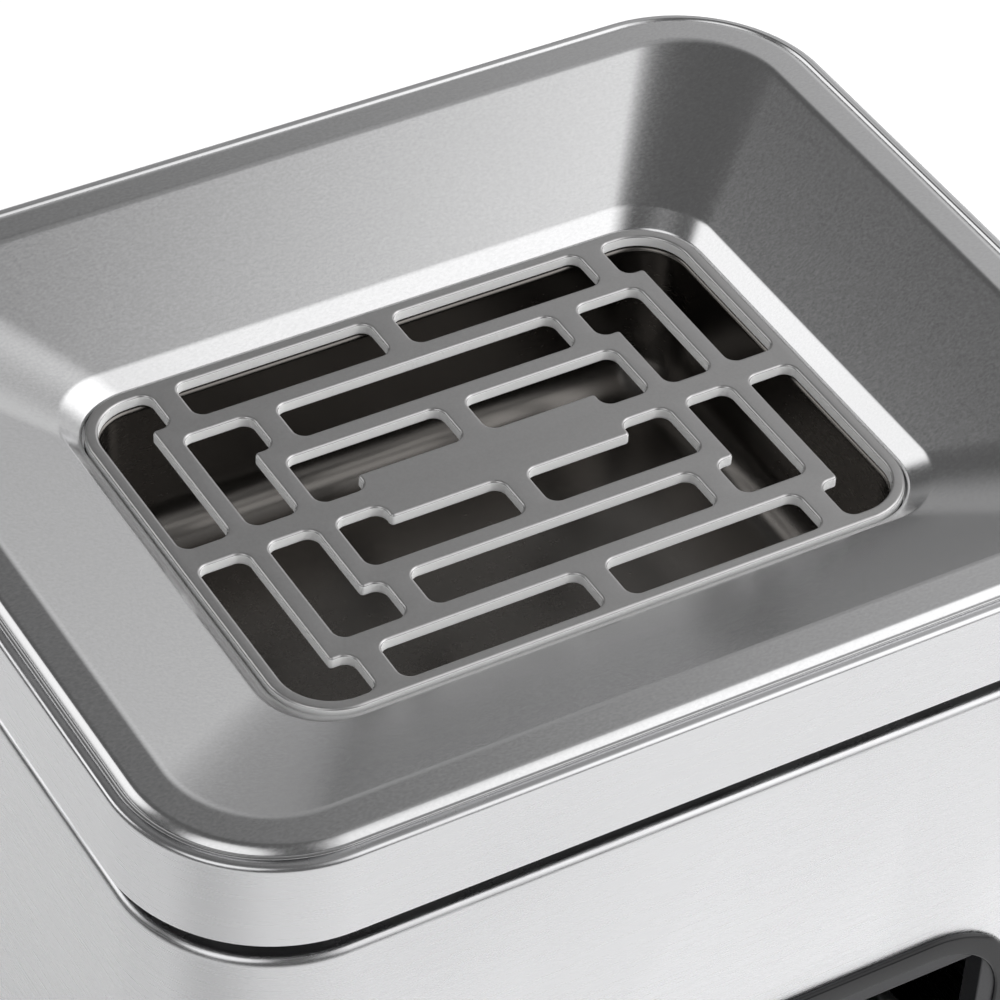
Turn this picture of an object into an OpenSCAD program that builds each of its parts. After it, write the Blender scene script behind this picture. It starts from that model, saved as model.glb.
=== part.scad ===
// Free-standing litter bin with a dished ash-tray top.
// A sheet-steel sleeve stands on a black plinth. A lift-off cap carries a
// dished tray, and a slotted grille lies in the dish over a removable ash pan.
// Litter goes in through a framed window in the front, into a liner pail.
// Origin: centre of the footprint, on the floor. +Z up, the window faces -Y.

/* [Overall] */
// Height of the bin, floor to tray rim
total_h = 610; // [560:5:700]
// Length of the cap, left to right
cap_l = 300; // [290:1:330]
// Width of the cap, front to back
cap_w = 248; // [240:1:270]
// Corner radius of the cap in plan
cap_r = 42; // [40:1:46]

/* [Cap] */
// Height of the cap's outer band
band_h = 25.2; // [20:0.2:32]
// Sheet thickness of the cap band
band_t = 1.2; // [0.8:0.1:1.6]
// Radius of the band's rounded top edge
band_edge_r = 1.4; // [1.3:0.1:2]
// Width of the flat ledge that the tray lies on
ledge_w = 12.6; // [12:0.1:14]
// Height of the dark gap between the cap and the body
gap_h = 7; // [4:0.5:10]

/* [Dished tray] */
// Distance from the cap's face to the tray's edge
tray_inset = 3.4; // [3:0.1:4]
// Height of the tray's rim above the cap's ledge
tray_rise = 1.8; // [1.5:0.1:2.5]
// Sheet thickness of the tray
tray_t = 1.2; // [0.8:0.1:1.2]
// Width of the flat rim, with its rolled edge
rim_w = 9.5; // [8:0.5:11]
// Slope of the dish, in degrees from level
dish_slope = 26; // [25:0.5:27]
// Depth of the grille's top below the rim
dish_depth = 22; // [22:0.5:26]
// Radius of the bend from the rim into the dish
rim_bend_r = 5; // [3:0.5:6]
// Slope of the band around the grille, in degrees from level
ring_slope = 40; // [38:1:42]
// Width of the band around the grille
ring_w = 5.6; // [5.4:0.1:6]
// Radius of the bend from the dish into the band
step_bend_r = 5; // [3:0.5:6]
// Radius where the band turns down to the grille's seat
turn_r = 1.6; // [1.5:0.1:1.8]
// Depth of the turned-down edge around the hole
lip_h = 3.4; // [2:0.2:5]

/* [Grille] */
// Length of the grille plate
grille_l = 181; // [181:1:183]
// Width of the grille plate
grille_w = 128.8; // [128.8:0.2:130]
// Thickness of the grille plate
grille_t = 3.6; // [3:0.1:4]
// Corner radius of the grille plate
grille_r = 17.4; // [16:0.2:18]
// Width of every slot
slot_w = 13.7; // [12:0.1:14]
// Width of the bars between the rings of slots
bar_w = 5.5; // [5:0.1:7]
// Length of the field of slots
field_l = 174; // [172:1:174]
// Width of the field of slots
field_w = 122; // [120:1:122]
// Half the width of the level bar across the middle
mid_bar = 3.6; // [2.5:0.1:4.5]
// Corner radius of the field of slots
field_r = 13.8; // [12:0.2:14]
// Corner radius of the slots' ends
slot_r = 3.2; // [2:0.1:4]

/* [Ash pan] */
// Depth of the pan below its flange
pan_depth = 45; // [30:1:60]
// Sheet thickness of the pan
pan_t = 0.8; // [0.8:0.1:1.2]
// Radius between the pan's wall and floor
pan_bend_r = 12; // [8:0.5:12]

/* [Body] */
// Distance from the cap's face in to the body's face
body_inset = 1.75; // [1:0.25:2]
// Sheet thickness of the sleeve
shell_t = 1.2; // [0.8:0.1:1.4]
// Radius of the sleeve's rounded top edge
shell_edge_r = 2.5; // [2:0.1:3]
// Height of the sleeve's lower edge above the floor
shell_z0 = 24; // [20:1:30]
// Number of rivets down the back seam
seam_rivets_n = 5; // [3:1:9]

/* [Window] */
// Length of the clear opening
window_l = 163.2; // [140:0.2:170]
// Height of the clear opening
window_h = 110; // [90:1:120]
// Depth of the opening's top edge below the grille's top
window_drop = 108; // [104:1:120]
// Corner radius of the clear opening
window_r = 4; // [3:0.5:8]
// Width of the satin face around the opening
face_w = 5.4; // [4:0.1:7]
// Width of the gloss trim ring
trim_w = 6.6; // [6:0.1:8]
// Corner radius of the trim ring's outside
trim_r = 30; // [26:1:34]
// Depth of the throat behind the body's face
throat_d = 6; // [4:0.5:6]

/* [Base] */
// Height of the rubber feet
foot_h = 10; // [8:1:12]
// Radius of the rubber feet
foot_r = 12; // [9:0.5:14]
// Distance from the body's face in to the plinth's face
plinth_inset = 5; // [4:0.5:6]

/* [Liner pail] */
// Length of the pail
pail_l = 246; // [230:1:250]
// Width of the pail
pail_w = 182; // [170:1:186]
// Corner radius of the pail
pail_r = 28; // [24:1:34]
// Sheet thickness of the pail
pail_t = 1; // [0.8:0.1:1.2]
// Radius of the pail's rolled rim
pail_rim_r = 2.6; // [2.4:0.1:2.8]
// Height of the pail
pail_h = 325; // [260:5:325]
// Radius of the bail's wire
bail_r = 2.5; // [2:0.1:2.6]
// Radius of the bail's grip
grip_r = 5.5; // [4:0.1:5.5]

/* [Hidden] */
$fn = 64;

eps = 0.01;
slip = 0.1;              // working gap between pieces that lift off each other

// Levels
rim_z = total_h;
ledge_z = rim_z - tray_rise;
band_z0 = ledge_z - band_h;
shell_z1 = band_z0 - gap_h;
grille_z = rim_z - dish_depth;
seat_z = grille_z - grille_t - 1;
window_z1 = grille_z - window_drop;
window_z = window_z1 - window_h / 2;

// Plan half sizes
cap_hl = cap_l / 2;
cap_hw = cap_w / 2;
tray_hl = cap_hl - tray_inset;
tray_hw = cap_hw - tray_inset;
tray_r = cap_r - tray_inset;
body_hl = cap_hl - body_inset;
body_hw = cap_hw - body_inset;
body_r = cap_r - body_inset;
skin_hl = body_hl - shell_t;   // inner face of the sleeve
skin_hw = body_hw - shell_t;
skin_r = body_r - shell_t;
hem_in = 4.65;                 // body face to collar face
collar_t = 1.5;
collar_z0 = shell_z1 - 31;
pad_t = 1.8;             // rest pads under the cap's ledge
collar_z1 = ledge_z - band_t - pad_t - slip;
collar_step_z = shell_z1 - 6;

// Tray profile: d is the distance in from the tray's edge
grille_gap = 0.7;
step_d = tray_hl - grille_l / 2 - grille_gap;
seat_w = 3.2;                              // shelf that carries the grille and the pan's flange
hole_d = step_d + seat_w;
bend_1 = [rim_w + rim_bend_r * sin(dish_slope), rim_bend_r * (cos(dish_slope) - 1)];
ring_d = step_d + grille_gap - ring_w;     // where the dish meets the band
ring_h = bend_1[1] - tan(dish_slope) * (ring_d - bend_1[0]);
ring_t = step_bend_r * tan((ring_slope - dish_slope) / 2);
ring_c = [ring_d - ring_t * cos(dish_slope) - step_bend_r * sin(dish_slope),
          ring_h + ring_t * sin(dish_slope) - step_bend_r * cos(dish_slope)];
turn_end = 85;                             // steepest part, in degrees
turn_d = step_d - turn_r * sin(turn_end);
turn_h = ring_h - tan(ring_slope) * (turn_d + turn_r * sin(ring_slope) - ring_d) - turn_r * cos(ring_slope);
seat_drop = rim_z - seat_z;
step_r = grille_r + grille_gap;

// Opening frame
trim_hl = window_l / 2 + face_w + trim_w;
trim_hh = window_h / 2 + face_w + trim_w;
face_y = -body_hw;             // front face of the sleeve
trim_proud = body_inset;
rebate = 1.6;
flange_t = 0.8;

// Pail
pail_z0 = shell_z0 + 7.5 + slip;
pail_hl = pail_l / 2;
pail_hw = pail_w / 2;
pail_rim_z = pail_z0 + pail_h;
bail_z = pail_rim_z - 15;
ear_t = 2;
ear_r = 8.5;                   // round eye of an ear
ear_foot_z = -17;              // middle of an ear's riveted foot, from the eye
bail_x = pail_hl + ear_t + 8;  // sides and front of the bail, laid level
bail_y = pail_hw + 11.4;
bail_bend = 22;                // corner radius of the bail
bail_eye = 6;                  // radius of the bend at each pivot end
bail_in = 0.3;                 // gap from the pivot end to the pail's wall
rivet_x = 10;                  // ear rivets, from the ear's middle
rivet_head_r = 2.8;
rivet_head_h = 1.2;
rivet_shank_r = 1.5;
rivet_hole_r = 1.6;

// ---- outlines and sweeps ----

module rounded(hl, hw, r) {
  square([2 * hl, 2 * (hw - r)], center = true);
  square([2 * (hl - r), 2 * hw], center = true);
  for (sx = [-1, 1], sy = [-1, 1])
    translate([sx * (hl - r), sy * (hw - r)]) circle(r);
}

module slab(hl, hw, r, z0, z1) {
  translate([0, 0, z0]) linear_extrude(z1 - z0) rounded(hl, hw, r);
}

module tube(hl, hw, r, t, z0, z1) {
  difference() {
    slab(hl, hw, r, z0, z1);
    slab(hl - t, hw - t, r - t, z0 - 1, z1 + 1);
  }
}

// Runs a profile round a rounded rectangle. The profile's x is measured from
// the corner's centre, so x = r is the outline itself, and its y is height.
module sweep(hl, hw, r) {
  for (c = [[1, 1, 0], [-1, 1, 90], [-1, -1, 180], [1, -1, 270]])
    translate([c[0] * (hl - r), c[1] * (hw - r), 0])
      rotate([0, 0, c[2]]) rotate_extrude(angle = 90) children();
  translate([-(hl - r), hw - r, 0]) rotate([90, 0, 90]) linear_extrude(2 * (hl - r)) children();
  translate([hl - r, -(hw - r), 0]) rotate([90, 0, 270]) linear_extrude(2 * (hl - r)) children();
  translate([hl - r, hw - r, 0]) rotate([90, 0, 0]) linear_extrude(2 * (hw - r)) children();
  translate([-(hl - r), -(hw - r), 0]) rotate([90, 0, 180]) linear_extrude(2 * (hw - r)) children();
}

// Quarter ring, centred at the origin, in the first quadrant
module quarter_ring(r_out, r_in) {
  intersection() {
    difference() {
      circle(r_out);
      circle(r_in);
    }
    square(r_out + 1);
  }
}

// Places a child on the long sides at each x and on the short sides at each y.
// The child's own +X points outwards.
module on_sides(hl, hw, long_at, short_at) {
  for (x = long_at, s = [-1, 1])
    translate([x, s * hw, 0]) rotate([0, 0, s * 90]) children();
  for (y = short_at, s = [-1, 1])
    translate([s * hl, y, 0]) rotate([0, 0, s > 0 ? 0 : 180]) children();
}

// A block in a child's frame: from x0 out to x1, w wide, between two heights
module block(x0, x1, w, z0, z1) {
  translate([x0, -w / 2, z0]) cube([x1 - x0, w, z1 - z0]);
}

// Pan-head screw along +Z from z0, head first
module screw(head_r, head_h, shank_r, length) {
  rotate_extrude() {
    square([shank_r, head_h + length]);
    square([head_r, head_h * 0.6]);
    intersection() {
      translate([head_r - head_h * 0.4, head_h * 0.6]) circle(head_h * 0.4);
      square([head_r, head_h]);
    }
    square([head_r - head_h * 0.4, head_h]);
  }
}

module at_corners(x, y) {
  for (sx = [-1, 1], sy = [-1, 1]) translate([sx * x, sy * y, 0]) children();
}

// ---- base ----

foot_x = cap_hl - 30;
foot_y = cap_hw - 30;
plinth_hl = body_hl - plinth_inset;
plinth_hw = body_hw - plinth_inset;
plinth_r = body_r - plinth_inset;
wall_t = 3;              // plinth wall, and the corner plates
flange_w = 18;           // plinth flange under the floor
plate_w = 46;            // side of a corner plate
floor_z = shell_z0 + 6;
floor_t = 1.5;
floor_in = 3.2;
floor_screw_long = [-80, 80];
floor_screw_short = [-55, 55];
floor_screw_in = 6.5;

module rubber_feet() {
  color("#1c1c1e") at_corners(foot_x, foot_y) difference() {
    rotate_extrude() {
      square([foot_r - 2, foot_h]);
      translate([0, 2]) square([foot_r, foot_h - 2]);
      translate([foot_r - 2, 2]) circle(2);
    }
    translate([0, 0, -1]) cylinder(r = 5, h = foot_h / 2 + 1);
    cylinder(r = 2.1, h = foot_h + 1);
  }
}

module foot_screws() {
  color("#b9bcc0") at_corners(foot_x, foot_y) translate([0, 0, foot_h / 2 - 2.6])
    screw(4.4, 2.6, 2, foot_h / 2 + wall_t + 3);
}

module foot_plates() {
  color("#202123") difference() {
    intersection() {
      slab(plinth_hl - wall_t, plinth_hw - wall_t, plinth_r - wall_t, foot_h, foot_h + wall_t);
      at_corners(plinth_hl - wall_t - plate_w / 2, plinth_hw - wall_t - plate_w / 2)
        translate([0, 0, foot_h]) cube([plate_w, plate_w, 2 * wall_t + 1], center = true);
    }
    at_corners(foot_x, foot_y) cylinder(r = 2.1, h = foot_h + wall_t + 1);
  }
}

module base_plinth() {
  color("#202123") difference() {
    union() {
      tube(plinth_hl, plinth_hw, plinth_r, wall_t, foot_h, floor_z);
      tube(skin_hl - slip, skin_hw - slip, skin_r - slip, flange_w, shell_z0, floor_z);
      tube(skin_hl - slip, skin_hw - slip, skin_r - slip, wall_t, shell_z0, shell_z0 + 18);
    }
    on_sides(skin_hl - floor_screw_in, skin_hw - floor_screw_in, floor_screw_long, floor_screw_short)
      translate([0, 0, floor_z - 7]) cylinder(r = 1.6, h = 10);
  }
}

module base_floor() {
  color("#a9abad") difference() {
    slab(skin_hl - floor_in, skin_hw - floor_in, skin_r - floor_in, floor_z, floor_z + floor_t);
    on_sides(skin_hl - floor_screw_in, skin_hw - floor_screw_in, floor_screw_long, floor_screw_short)
      translate([0, 0, floor_z - 1]) cylinder(r = 1.6, h = floor_t + 2);
  }
}

module floor_screws() {
  color("#b9bcc0")
    on_sides(skin_hl - floor_screw_in, skin_hw - floor_screw_in, floor_screw_long, floor_screw_short)
      translate([0, 0, floor_z + floor_t + 1.8]) mirror([0, 0, 1]) screw(3, 1.8, 1.5, 7);
}

// ---- sleeve, seam and collar ----

module shell_profile() {
  r = body_r;
  translate([r - shell_edge_r, shell_z1 - shell_edge_r]) quarter_ring(shell_edge_r, shell_edge_r - shell_t);
  translate([r - hem_in + 0.15, shell_z1 - shell_t]) square([hem_in - 0.15 - shell_edge_r, shell_t]);
  translate([r - shell_t, shell_z0]) square([shell_t, shell_z1 - shell_edge_r - shell_z0]);
}

seam_x = 12;                   // half the width of the strip behind the seam
seam_in = 50;                  // end rivets, in from the sleeve's ends
seam_pitch = (shell_z1 - shell_z0 - 2 * seam_in) / (seam_rivets_n - 1);
frame_clear = 2.8;             // sleeve's cut-out, out from the clear opening

module body_shell() {
  color("#c9cacc") difference() {
    sweep(body_hl, body_hw, body_r) shell_profile();
    translate([0, face_y + 5, window_z]) rotate([90, 0, 0])
      linear_extrude(10)
        rounded(window_l / 2 + frame_clear, window_h / 2 + frame_clear, window_r + frame_clear);
    translate([-0.2, body_hw - 5, shell_z0 - 1]) cube([0.4, 10, shell_z1 - shell_z0 - 5]);
    for (i = [0 : seam_rivets_n - 1], sx = [-1, 1])
      translate([sx * seam_x / 2, body_hw + 5, shell_z0 + seam_in + i * seam_pitch]) rotate([90, 0, 0])
        cylinder(r = rivet_hole_r, h = 10);
    retainer_places() translate([0, 0, -5]) cylinder(r = 1.6, h = 10);
  }
}

module seam_strip() {
  color("#a9abad") difference() {
    translate([-seam_x, skin_hw - 0.9, shell_z0 + 22])
      cube([2 * seam_x, 0.9, collar_z0 - shell_z0 - 26]);
    for (i = [0 : seam_rivets_n - 1], sx = [-1, 1])
      translate([sx * seam_x / 2, skin_hw + 5, shell_z0 + seam_in + i * seam_pitch]) rotate([90, 0, 0])
        cylinder(r = 1.6, h = 10);
  }
}

module seam_rivets() {
  color("#b9bcc0")
    for (i = [0 : seam_rivets_n - 1], sx = [-1, 1])
      translate([sx * seam_x / 2, body_hw + rivet_head_h, shell_z0 + seam_in + i * seam_pitch])
        rotate([90, 0, 0]) screw(rivet_head_r, rivet_head_h, rivet_shank_r, shell_t + 2.2);
}

stud_long = [-80, 80];
stud_short = [-60, 60];
stud_z = collar_z0 + 12;
stud_l = 5.6;                  // reach of the weld studs in from the sleeve
stud_r = 2;
skirt_t = 1.8;                 // thickness of the collar's lower skirt
nut_t = 2.8;
nut_r = 4;

module top_collar() {
  color("#161618") difference() {
    union() {
      tube(body_hl - hem_in, body_hw - hem_in, body_r - hem_in, collar_t, collar_step_z - 2, collar_z1);
      tube(skin_hl - slip, skin_hw - slip, skin_r - slip, 5.2, collar_step_z - 2, collar_step_z);
      tube(skin_hl - slip, skin_hw - slip, skin_r - slip, skirt_t, collar_z0, collar_step_z);
    }
    on_sides(skin_hl, skin_hw, stud_long, stud_short)
      translate([-8, 0, stud_z]) rotate([0, 90, 0]) cylinder(r = stud_r + 0.1, h = 10);
  }
}

module collar_studs() {
  color("#b9bcc0") on_sides(skin_hl, skin_hw, stud_long, stud_short)
    translate([-stud_l, 0, stud_z]) rotate([0, 90, 0]) cylinder(r = stud_r, h = stud_l);
}

module collar_nuts() {
  color("#b9bcc0") on_sides(skin_hl, skin_hw, stud_long, stud_short)
    translate([-skirt_t - nut_t - 0.1, 0, stud_z]) rotate([0, 90, 0]) difference() {
      cylinder(r = nut_r, h = nut_t, $fn = 6);
      translate([0, 0, -1]) cylinder(r = stud_r + 0.05, h = nut_t + 2);
    }
}

// ---- window frame ----

// Turns a child drawn in plan so that it stands in the front face, +Z outwards
module in_front() {
  translate([0, face_y, window_z]) rotate([90, 0, 0]) children();
}

screw_in = 3.2;
module retainer_places() {
  in_front() {
    for (x = [-60, 0, 60], s = [-1, 1]) translate([x, s * (trim_hh - screw_in), 0]) children();
    for (y = [-28, 28], s = [-1, 1]) translate([s * (trim_hl - screw_in), y, 0]) children();
  }
}

module trim_profile() {
  r = trim_r;
  edge = trim_proud - eps;
  difference() {
    union() {
      translate([r - trim_w, 0]) square([trim_w, 0.2]);
      intersection() {
        translate([r - edge, 0]) circle(edge);
        translate([r - edge, 0]) square(edge);
      }
      intersection() {
        translate([r - trim_w + edge, 0]) circle(edge);
        translate([r - trim_w, 0]) square(edge);
      }
      translate([r - trim_w + edge, 0]) square([trim_w - 2 * edge, edge]);
    }
    translate([r - trim_w - 1, -1]) square([rebate + 1, 1 + flange_t]);
  }
}

module bezel_trim() {
  color("#0c0c0d") difference() {
    in_front() sweep(trim_hl, trim_hh, trim_r) trim_profile();
    retainer_places() translate([0, 0, -1]) cylinder(r = 1.2, h = 2);
  }
}

module opening_frame() {
  lip = trim_w - rebate + 0.1;
  color("#39393b") in_front() {
    difference() {
      slab(trim_hl - lip, trim_hh - lip, trim_r - lip, 0, flange_t - 0.05);
      slab(window_l / 2, window_h / 2, window_r, -1, 2);
    }
    difference() {
      slab(window_l / 2 + 1.8, window_h / 2 + 1.8, window_r + 1.8, -throat_d, 0);
      slab(window_l / 2, window_h / 2, window_r, -throat_d - 1, 2);
    }
  }
}

retainer_t = 1.5;
module frame_retainer() {
  color("#8d9093") difference() {
    in_front() difference() {
      slab(trim_hl, trim_hh, 14, -shell_t - retainer_t, -shell_t);
      slab(window_l / 2 + 2.6, window_h / 2 + 2.6, window_r + 2.6, -10, 2);
    }
    retainer_places() translate([0, 0, -5]) cylinder(r = 1.6, h = 10);
  }
}

module retainer_screws() {
  color("#b9bcc0") retainer_places()
    translate([0, 0, -shell_t - retainer_t - 1.6]) screw(2.8, 1.6, 1.15, shell_t + retainer_t + 0.9);
}

// ---- cap ----

clip_z = ledge_z - band_t;     // underside of the ledge
clip_long = [-40, 40];
clip_short = [0];
clip_screw_in = 11.5;          // screws, in from the cap's face

module clip_places(z) {
  on_sides(cap_hl, cap_hw, clip_long, clip_short) translate([-clip_screw_in, 0, z]) children();
}

module cap_band() {
  r = cap_r;
  color("#cfd0d2") difference() {
    sweep(cap_hl, cap_hw, cap_r) {
      translate([r - band_edge_r, ledge_z - band_edge_r]) quarter_ring(band_edge_r, band_edge_r - band_t);
      translate([r - ledge_w - band_edge_r, ledge_z - band_t]) square([ledge_w, band_t]);
      translate([r - band_t, band_z0]) square([band_t, band_h - band_edge_r]);
    }
    clip_places(clip_z - 1) cylinder(r = clip_shank_r + 0.05, h = band_t + 2);
  }
}

// Corner radius of the dish at a distance d in from its edge
function dish_r(d) =
  d <= rim_w ? tray_r - d :
  d <= step_d ? tray_r - rim_w + (step_r - tray_r + rim_w) * (d - rim_w) / (step_d - rim_w) :
  step_r - (d - step_d);

// Points of a bend: centre, radius, first and last angle from straight up
function bend(c, r, a0, a1, n) =
  [for (i = [0 : n]) let (a = a0 + (a1 - a0) * i / n) [c[0] + r * sin(a), c[1] + r * cos(a)]];

// The sheet's section on the seen side (off = 0) or the hidden side (off = t)
function dish_side(off) = concat(
  bend([tray_rise, -tray_rise], tray_rise - off, -90, 0, 5),
  bend([rim_w, -rim_bend_r], rim_bend_r - off, 0, dish_slope, 4),
  bend(ring_c, step_bend_r - off, dish_slope, ring_slope, 3),
  bend([turn_d, turn_h], turn_r - off, ring_slope, turn_end, 4),
  [[step_d - off, -seat_drop - off]],
  bend([hole_d - tray_t, -seat_drop - tray_t], tray_t - off, 0, 90, 4),
  [[hole_d - off, -seat_drop - tray_t - lip_h]]);

function flip(v) = [for (i = [len(v) - 1 : -1 : 0]) v[i]];

// One closed ring of points at a distance in and a height
corner_n = 10;
function dish_ring(p) =
  let (hl = tray_hl - p[0], hw = tray_hw - p[0], r = max(dish_r(p[0]), 0.5))
  [for (q = [[1, 1], [-1, 1], [-1, -1], [1, -1]], i = [0 : corner_n])
    let (first = q[0] > 0 ? (q[1] > 0 ? 0 : 270) : (q[1] > 0 ? 90 : 180), a = first + 90 * i / corner_n)
    [q[0] * (hl - r) + r * cos(a), q[1] * (hw - r) + r * sin(a), rim_z + p[1]]];

module dished_tray() {
  section = concat(dish_side(0), flip(dish_side(tray_t - 0.05)));
  m = len(section);
  n = 4 * (corner_n + 1);
  color("#bdbec0") polyhedron(
    points = [for (p = section) each dish_ring(p)],
    faces = [for (i = [0 : m - 1], j = [0 : n - 1])
      let (k = (i + 1) % m, l = (j + 1) % n) each
      [[i * n + j, k * n + l, i * n + l], [i * n + j, k * n + j, k * n + l]]]);
}

clip_t = 1.2;
clip_w = 22;
clip_x = [-17.2, -9.2];        // inner and outer end of a clip, from the cap's face
clip_head_h = 1.6;
clip_shank_r = 1.1;

module tray_clips() {
  color("#a9abad") difference() {
    on_sides(cap_hl, cap_hw, clip_long, clip_short)
      block(clip_x[0], clip_x[1], clip_w, clip_z - clip_t, clip_z);
    clip_places(clip_z - clip_t - 1) cylinder(r = clip_shank_r + 0.5, h = clip_t + 2);
  }
}

module clip_screws() {
  color("#b9bcc0") clip_places(clip_z - clip_t - clip_head_h)
    screw(2 * clip_shank_r, clip_head_h, clip_shank_r, clip_t + 1);
}

pad_long = [-85, 85];
pad_short = [-50, 50];
pad_x = [-9, -5.2];

module rest_pads() {
  color("#1c1c1e") on_sides(cap_hl, cap_hw, pad_long, pad_short)
    block(pad_x[0], pad_x[1], 16, clip_z - pad_t, clip_z);
}

locate_long = [-60, 60];
locate_gap = 0.5;              // from a locating block to the collar

module locating_blocks() {
  color("#202123") on_sides(cap_hl, cap_hw, locate_long, [0])
    block(-body_inset - hem_in + locate_gap, -band_t, 34, band_z0 + 3, clip_z - 4);
}

// ---- grille ----

module slot_box(x0, y0, x1, y1) {
  translate([x0, y0 + slot_r]) square([x1 - x0, y1 - y0 - 2 * slot_r]);
  translate([x0 + slot_r, y0]) square([x1 - x0 - 2 * slot_r, y1 - y0]);
  for (x = [x0 + slot_r, x1 - slot_r], y = [y0 + slot_r, y1 - slot_r])
    translate([x, y]) circle(slot_r);
}

pitch = slot_w + bar_w;
function out_x(k) = field_l / 2 - k * pitch;
function out_y(k) = field_w / 2 - k * pitch;
short_leg = 5.8;         // reach of the short legs past the slots' width
break_gap = 3.5;         // half the bar between two slots in one row
row_gap = 7.1;           // bar between a corner slot and its row

// The slots of one quarter, in the first quadrant
module quarter_slots() {
  // outer ring: corner slot and row slot
  intersection() {
    union() {
      slot_box(out_x(0) - slot_w, mid_bar, out_x(0), out_y(0));
      slot_box(out_x(0) - slot_w - short_leg, out_y(0) - slot_w, out_x(0), out_y(0));
    }
    rounded(field_l / 2, field_w / 2, field_r);
  }
  slot_box(break_gap, out_y(0) - slot_w, out_x(0) - slot_w - short_leg - row_gap, out_y(0));
  // middle ring: corner slot
  slot_box(out_x(1) - slot_w, mid_bar, out_x(1), out_y(1));
  slot_box(out_x(1) - slot_w - short_leg, out_y(1) - slot_w, out_x(1), out_y(1));
  // inner ring: row slot with a short leg down
  slot_box(break_gap, out_y(2) - slot_w, out_x(2), out_y(2));
  slot_box(out_x(2) - slot_w, mid_bar, out_x(2), out_y(2));
}

module grille_plate() {
  row_1 = out_x(1) - slot_w - short_leg - row_gap;
  color("#98999b") translate([0, 0, grille_z - grille_t]) linear_extrude(grille_t) difference() {
    rounded(grille_l / 2, grille_w / 2, grille_r);
    for (sx = [0, 1], sy = [0, 1]) mirror([sx, 0]) mirror([0, sy]) quarter_slots();
    for (s = [0, 1]) mirror([0, s]) slot_box(-row_1, out_y(1) - slot_w, row_1, out_y(1));
  }
}

// ---- ash pan ----

pan_hl = tray_hl - hole_d - 0.6;
pan_hw = tray_hw - hole_d - 0.6;
pan_r = step_r - (hole_d - step_d) - 0.6;
pan_z1 = grille_z - grille_t - slip;
pan_floor_z = pan_z1 - pan_depth;
pan_lip = grille_l / 2 - pan_hl;

module ash_pan() {
  r = pan_r;
  bend_out = pan_bend_r + pan_t;
  color("#8c8880") {
    sweep(pan_hl, pan_hw, pan_r) {
      translate([r - pan_t, pan_z1 - pan_t]) square([pan_t + pan_lip, pan_t]);
      translate([r - pan_t, pan_floor_z + bend_out]) square([pan_t, pan_depth - bend_out]);
      translate([r - bend_out, pan_floor_z + bend_out]) mirror([0, 1]) quarter_ring(bend_out, pan_bend_r);
    }
    slab(pan_hl - bend_out, pan_hw - bend_out, r - bend_out + eps, pan_floor_z, pan_floor_z + pan_t);
  }
}

// ---- liner pail and bail ----

module liner_pail() {
  r = pail_r;
  color("#9fa1a0") {
    slab(pail_hl, pail_hw, pail_r, pail_z0, pail_z0 + pail_t);
    tube(pail_hl, pail_hw, pail_r, pail_t, pail_z0, pail_rim_z - pail_rim_r);
    sweep(pail_hl, pail_hw, pail_r)
      translate([r + pail_rim_r - pail_t, pail_rim_z - pail_rim_r]) difference() {
        circle(pail_rim_r);
        circle(pail_rim_r - pail_t + 0.3);
      }
  }
}

module rim_wire() {
  r = pail_r;
  color("#8d9093") sweep(pail_hl, pail_hw, pail_r)
    translate([r + pail_rim_r - pail_t, pail_rim_z - pail_rim_r]) circle(pail_rim_r - pail_t - 0.05);
}

module pail_ears() {
  color("#b9bcc0") for (s = [0, 1]) mirror([s, 0, 0])
    translate([pail_hl, 0, bail_z]) rotate([90, 0, 90]) difference() {
      linear_extrude(ear_t) {
        circle(ear_r);
        translate([-15, ear_foot_z - 7]) square([30, 17]);
        translate([-ear_r, -10]) square([2 * ear_r, 10]);
      }
      translate([0, 0, -1]) cylinder(r = bail_r + 0.08, h = ear_t + 2);
      for (x = [-rivet_x, rivet_x]) translate([x, ear_foot_z, -1])
        cylinder(r = rivet_hole_r, h = ear_t + 2);
    }
}

module ear_rivets() {
  color("#b9bcc0") for (sx = [0, 1], y = [-rivet_x, rivet_x]) mirror([sx, 0, 0])
    translate([pail_hl + ear_t + rivet_head_h, y, bail_z + ear_foot_z]) rotate([0, -90, 0])
      screw(rivet_head_r, rivet_head_h, rivet_shank_r, ear_t);
}

module bail_wire() {
  color("#b9bcc0") translate([0, 0, bail_z]) {
    for (s = [0, 1]) mirror([s, 0, 0]) {
      translate([pail_hl + bail_in, 0, 0]) rotate([0, 90, 0])
        cylinder(r = bail_r, h = bail_x - pail_hl - bail_in - bail_eye);
      translate([bail_x - bail_eye, bail_eye, 0]) rotate([0, 0, 270]) rotate_extrude(angle = 90)
        translate([bail_eye, 0]) circle(bail_r);
      translate([bail_x, bail_eye, 0]) rotate([-90, 0, 0])
        cylinder(r = bail_r, h = bail_y - bail_bend - bail_eye);
      translate([bail_x - bail_bend, bail_y - bail_bend, 0]) rotate_extrude(angle = 90)
        translate([bail_bend, 0]) circle(bail_r);
    }
    translate([-(bail_x - bail_bend), bail_y, 0]) rotate([0, 90, 0])
      cylinder(r = bail_r, h = 2 * (bail_x - bail_bend));
  }
}

grip_l = 90;
grip_edge = 1.5;               // rounding of the grip's ends

module bail_grip() {
  color("#202123") translate([-grip_l / 2, bail_y, bail_z]) rotate([0, 90, 0]) difference() {
    rotate_extrude() {
      translate([0, grip_edge]) square([grip_r, grip_l - 2 * grip_edge]);
      square([grip_r - grip_edge, grip_l]);
      for (z = [grip_edge, grip_l - grip_edge]) translate([grip_r - grip_edge, z]) circle(grip_edge);
    }
    translate([0, 0, -1]) cylinder(r = bail_r + 0.05, h = grip_l + 2);
  }
}

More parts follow.
